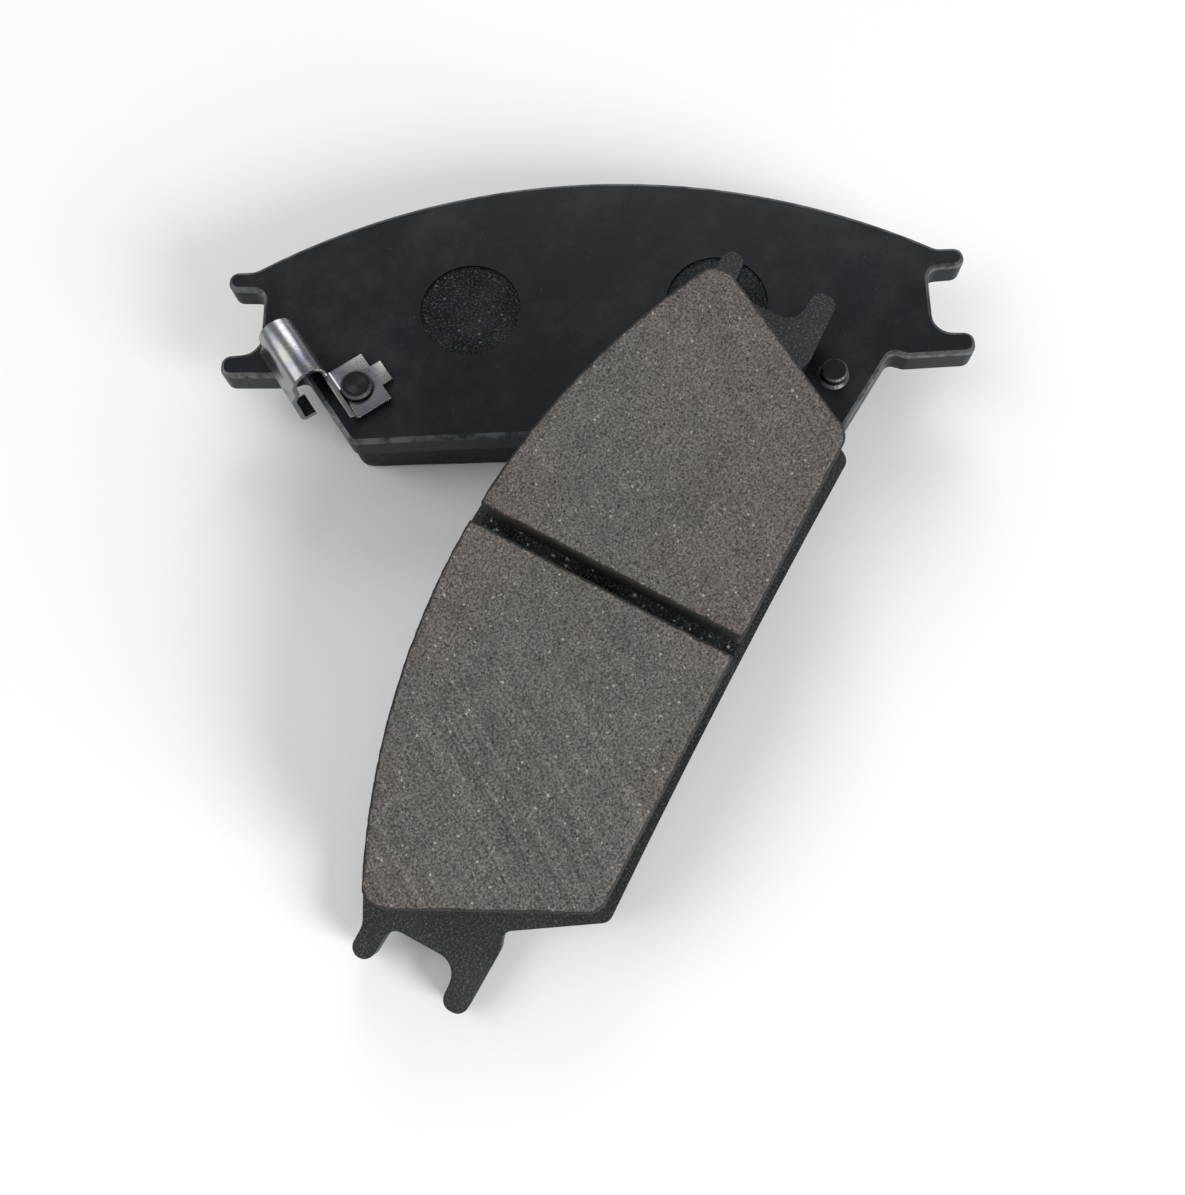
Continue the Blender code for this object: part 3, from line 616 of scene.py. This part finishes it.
def finish_piece(piece, material, smooth_angle=None):
    """Gives a piece its material and smooth shading."""
    select_only(piece)
    if smooth_angle is None:
        bpy.ops.object.shade_smooth()
    else:
        bpy.ops.object.shade_smooth_by_angle(angle=smooth_angle)
    piece.data.materials.append(material)


def apply_modifier(piece, kind, name, **options):
    """Adds a modifier with options and applies it."""
    modifier = piece.modifiers.new(name, kind)
    for key, value in options.items():
        setattr(modifier, key, value)
    select_only(piece)
    bpy.ops.object.modifier_apply(modifier=name)


def cloud_texture(name, size, depth):
    """Cloud texture for a Displace modifier."""
    texture = bpy.data.textures.new(name, "CLOUDS")
    texture.noise_scale = size
    texture.noise_depth = depth
    return texture


class BRAKEPAD_OT_friction_blocks(bpy.types.Operator):
    """Models the four friction blocks with ground faces and crumbled edges"""
    bl_idname = "brakepad.friction_blocks"
    bl_label = "Friction Blocks"

    def execute(self, context):
        settings = context.scene.brakepad_blocks
        build_groups()
        crumble = cloud_texture("crumble", 1.6 * MM, 3)
        materials = {pad: friction_compound(pad, settings) for pad in PAD_FRAMES}
        for name, pad in BLOCKS.items():
            piece = copy_of_node(name, name.replace("block", "friction_block"))
            apply_modifier(piece, "REMESH", "grid", mode="VOXEL", voxel_size=settings.grid)
            self.crumble(piece, pad, crumble, settings.chipping)
            finish_piece(piece, materials[pad])
            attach(piece, pad + "_pad")
            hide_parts(name)
        return {"FINISHED"}

    def crumble(self, piece, pad, texture, depth):
        """Wears the walls unevenly, most near the ground face, which stays flat."""
        to_pad = PAD_FRAMES[pad].inverted()
        heights = [(to_pad @ vertex.co).z for vertex in piece.data.vertices]
        top = max(heights)
        group = piece.vertex_groups.new(name="walls")
        turned = to_pad.to_3x3()
        for vertex, height in zip(piece.data.vertices, heights):
            if abs((turned @ vertex.normal).z) < WALL_LIMIT:
                near_edge = max(0.0, 1 - (top - height) / EDGE_BAND)
                group.add([vertex.index], min(1.0, WALL_WEAR + near_edge), "REPLACE")
        apply_modifier(piece, "DISPLACE", "crumble", texture=texture, strength=-2 * depth,
                       mid_level=0.35, vertex_group="walls", texture_coords="LOCAL")


class BRAKEPAD_OT_underlayers(bpy.types.Operator):
    """Models the two underlayers, closed up against plate and blocks, with rough plugs"""
    bl_idname = "brakepad.underlayers"
    bl_label = "Underlayers"

    def execute(self, context):
        settings = context.scene.brakepad_underlayers
        build_groups()
        for name, pad in UNDERLAYERS.items():
            piece = copy_of_node(name, name.replace("underlayer", "moulded_underlayer"))
            self.close_up(piece, pad, settings.closing)
            finish_piece(piece, bonding_layer(pad, settings), SMOOTH_ANGLE)
            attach(piece, pad + "_pad")
            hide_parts(name)
        return {"FINISHED"}

    def close_up(self, piece, pad, closing):
        """Swells the layer's broad faces towards plate and blocks, and its plugs sideways."""
        to_pad = PAD_FRAMES[pad].inverted()
        outwards = PAD_FRAMES[pad].to_3x3()
        places = [to_pad @ vertex.co for vertex in piece.data.vertices]
        top = max(place.z for place in places)
        for vertex, place in zip(piece.data.vertices, places):
            below = top - place.z
            plug = min(PLUGS[pad], key=lambda centre: (place.xy - centre).length)
            sideways = place.xy - plug
            if below < NEAR_FACE:
                vertex.co += outwards @ Vector((0, 0, closing))
            elif sideways.length < PLUG_REACH:
                away = sideways.normalized() * closing
                vertex.co += outwards @ Vector((away.x, away.y, 0))
            elif abs(below - LAYER_THICKNESS) < NEAR_FACE:
                vertex.co -= outwards @ Vector((0, 0, closing))


class BRAKEPAD_OT_backing_plates(bpy.types.Operator):
    """Paints the two steel backing plates"""
    bl_idname = "brakepad.backing_plates"
    bl_label = "Backing Plates"

    def execute(self, context):
        settings = context.scene.brakepad_plates
        build_groups()
        for name, pad in PLATES.items():
            plate = frame["nodes"][name]
            plate.data.materials.clear()
            plate.data.materials.append(plate_paint(pad, settings))
        return {"FINISHED"}


class BRAKEPAD_OT_wear_indicator(bpy.types.Operator):
    """Models the wear indicator with rounded sheared edges and bright plating"""
    bl_idname = "brakepad.wear_indicator"
    bl_label = "Wear Indicator"

    def execute(self, context):
        settings = context.scene.brakepad_indicator
        piece = copy_of_node("wear_indicator", "plated_wear_indicator")
        apply_modifier(piece, "BEVEL", "sheared_edges", width=settings.edge, segments=3,
                       limit_method="ANGLE", angle_limit=math.radians(40),
                       harden_normals=False)
        finish_piece(piece, zinc_plate(settings), SMOOTH_ANGLE)
        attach(piece, "lower_pad")
        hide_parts("wear_indicator")
        return {"FINISHED"}


class BRAKEPAD_OT_stage(bpy.types.Operator):
    """Sets up the pale floor, the soft studio lights and the camera"""
    bl_idname = "brakepad.stage"
    bl_label = "Stage"

    def execute(self, context):
        settings = context.scene.brakepad_stage
        context.scene.view_settings.view_transform = "Standard"
        self.floor(settings)
        self.lights(context.scene)
        self.camera(context.scene, settings)
        return {"FINISHED"}

    def floor(self, settings):
        """Plain pale floor at the height that the pads lie on."""
        bpy.ops.object.select_all(action="DESELECT")
        bpy.ops.mesh.primitive_plane_add(size=settings.floor_size)
        floor = bpy.context.view_layer.objects.active
        floor.name = "floor"
        material, tree, shader, coordinates = new_material("pale_floor")
        shade = ramp(tree, noise(tree, coordinates.outputs["Object"], 0.4, detail=2.0),
                     0.3, 0.7)
        base = mix_colour(tree, math_node(tree, "MULTIPLY", shade, 0.15),
                          settings.floor_colour, (0.93, 0.93, 0.93, 1))
        tree.links.new(base, shader.inputs["Base Color"])
        shader.inputs["Roughness"].default_value = 0.9
        shader.inputs["Specular IOR Level"].default_value = 0.1
        floor.data.materials.append(material)

    def lights(self, scene):
        """Soft key, fill and back lights and an even pale surround."""
        world = bpy.data.worlds.new("studio")
        world.use_nodes = True
        background = world.node_tree.nodes["Background"].inputs
        background["Color"].default_value = (1, 1, 1, 1)
        background["Strength"].default_value = WORLD_STRENGTH
        scene.world = world
        for name, place, size, power in LIGHTS:
            lamp = bpy.data.lights.new(name, "AREA")
            lamp.shape = "DISK"
            lamp.size = size
            lamp.energy = power
            holder = bpy.data.objects.new(name, lamp)
            scene.collection.objects.link(holder)
            holder.location = place
            towards = AIM - Vector(place)
            holder.rotation_euler = towards.to_track_quat("-Z", "Y").to_euler()

    def camera(self, scene, settings):
        """Camera above the grounded ear, looking down over both pads."""
        lens = bpy.data.cameras.new("camera")
        lens.lens = settings.focal_length
        lens.sensor_width = SENSOR_WIDTH
        lens.sensor_fit = "HORIZONTAL"
        lens.clip_start = 10 * MM
        camera = bpy.data.objects.new("camera", lens)
        scene.collection.objects.link(camera)
        camera.location = settings.camera_place
        camera.rotation_euler = Euler(settings.camera_turn)
        scene.camera = camera


class BRAKEPAD_PT_panel(bpy.types.Panel):
    """Lists the pieces of the brake pad set and their settings"""
    bl_idname = "BRAKEPAD_PT_panel"
    bl_label = "Brake Pad Set"
    bl_space_type = "VIEW_3D"
    bl_region_type = "UI"
    bl_category = "Brake Pads"

    def draw(self, context):
        layout = self.layout
        for operator, holder in STEPS:
            box = layout.box()
            box.operator(operator)
            settings = getattr(context.scene, holder)
            for name in settings.bl_rna.properties.keys():
                if name not in {"rna_type", "name"}:
                    box.prop(settings, name)


STEPS = (
    ("brakepad.stage", "brakepad_stage"),
    ("brakepad.backing_plates", "brakepad_plates"),
    ("brakepad.underlayers", "brakepad_underlayers"),
    ("brakepad.friction_blocks", "brakepad_blocks"),
    ("brakepad.wear_indicator", "brakepad_indicator"),
)
SETTINGS = {
    "brakepad_stage": StageSettings,
    "brakepad_plates": PlateSettings,
    "brakepad_underlayers": UnderlayerSettings,
    "brakepad_blocks": BlockSettings,
    "brakepad_indicator": IndicatorSettings,
}
CLASSES = (
    StageSettings, PlateSettings, UnderlayerSettings, BlockSettings, IndicatorSettings,
    BRAKEPAD_OT_stage, BRAKEPAD_OT_backing_plates, BRAKEPAD_OT_underlayers,
    BRAKEPAD_OT_friction_blocks, BRAKEPAD_OT_wear_indicator, BRAKEPAD_PT_panel,
)


def register():
    for item in CLASSES:
        bpy.utils.register_class(item)
    for name, group in SETTINGS.items():
        setattr(bpy.types.Scene, name, bpy.props.PointerProperty(type=group))


def unregister():
    for name in SETTINGS:
        delattr(bpy.types.Scene, name)
    for item in reversed(CLASSES):
        bpy.utils.unregister_class(item)


def main():
    """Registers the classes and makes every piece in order."""
    register()
    bpy.ops.brakepad.stage()
    bpy.ops.brakepad.backing_plates()
    bpy.ops.brakepad.underlayers()
    bpy.ops.brakepad.friction_blocks()
    bpy.ops.brakepad.wear_indicator()


if __name__ == "__main__":
    main()
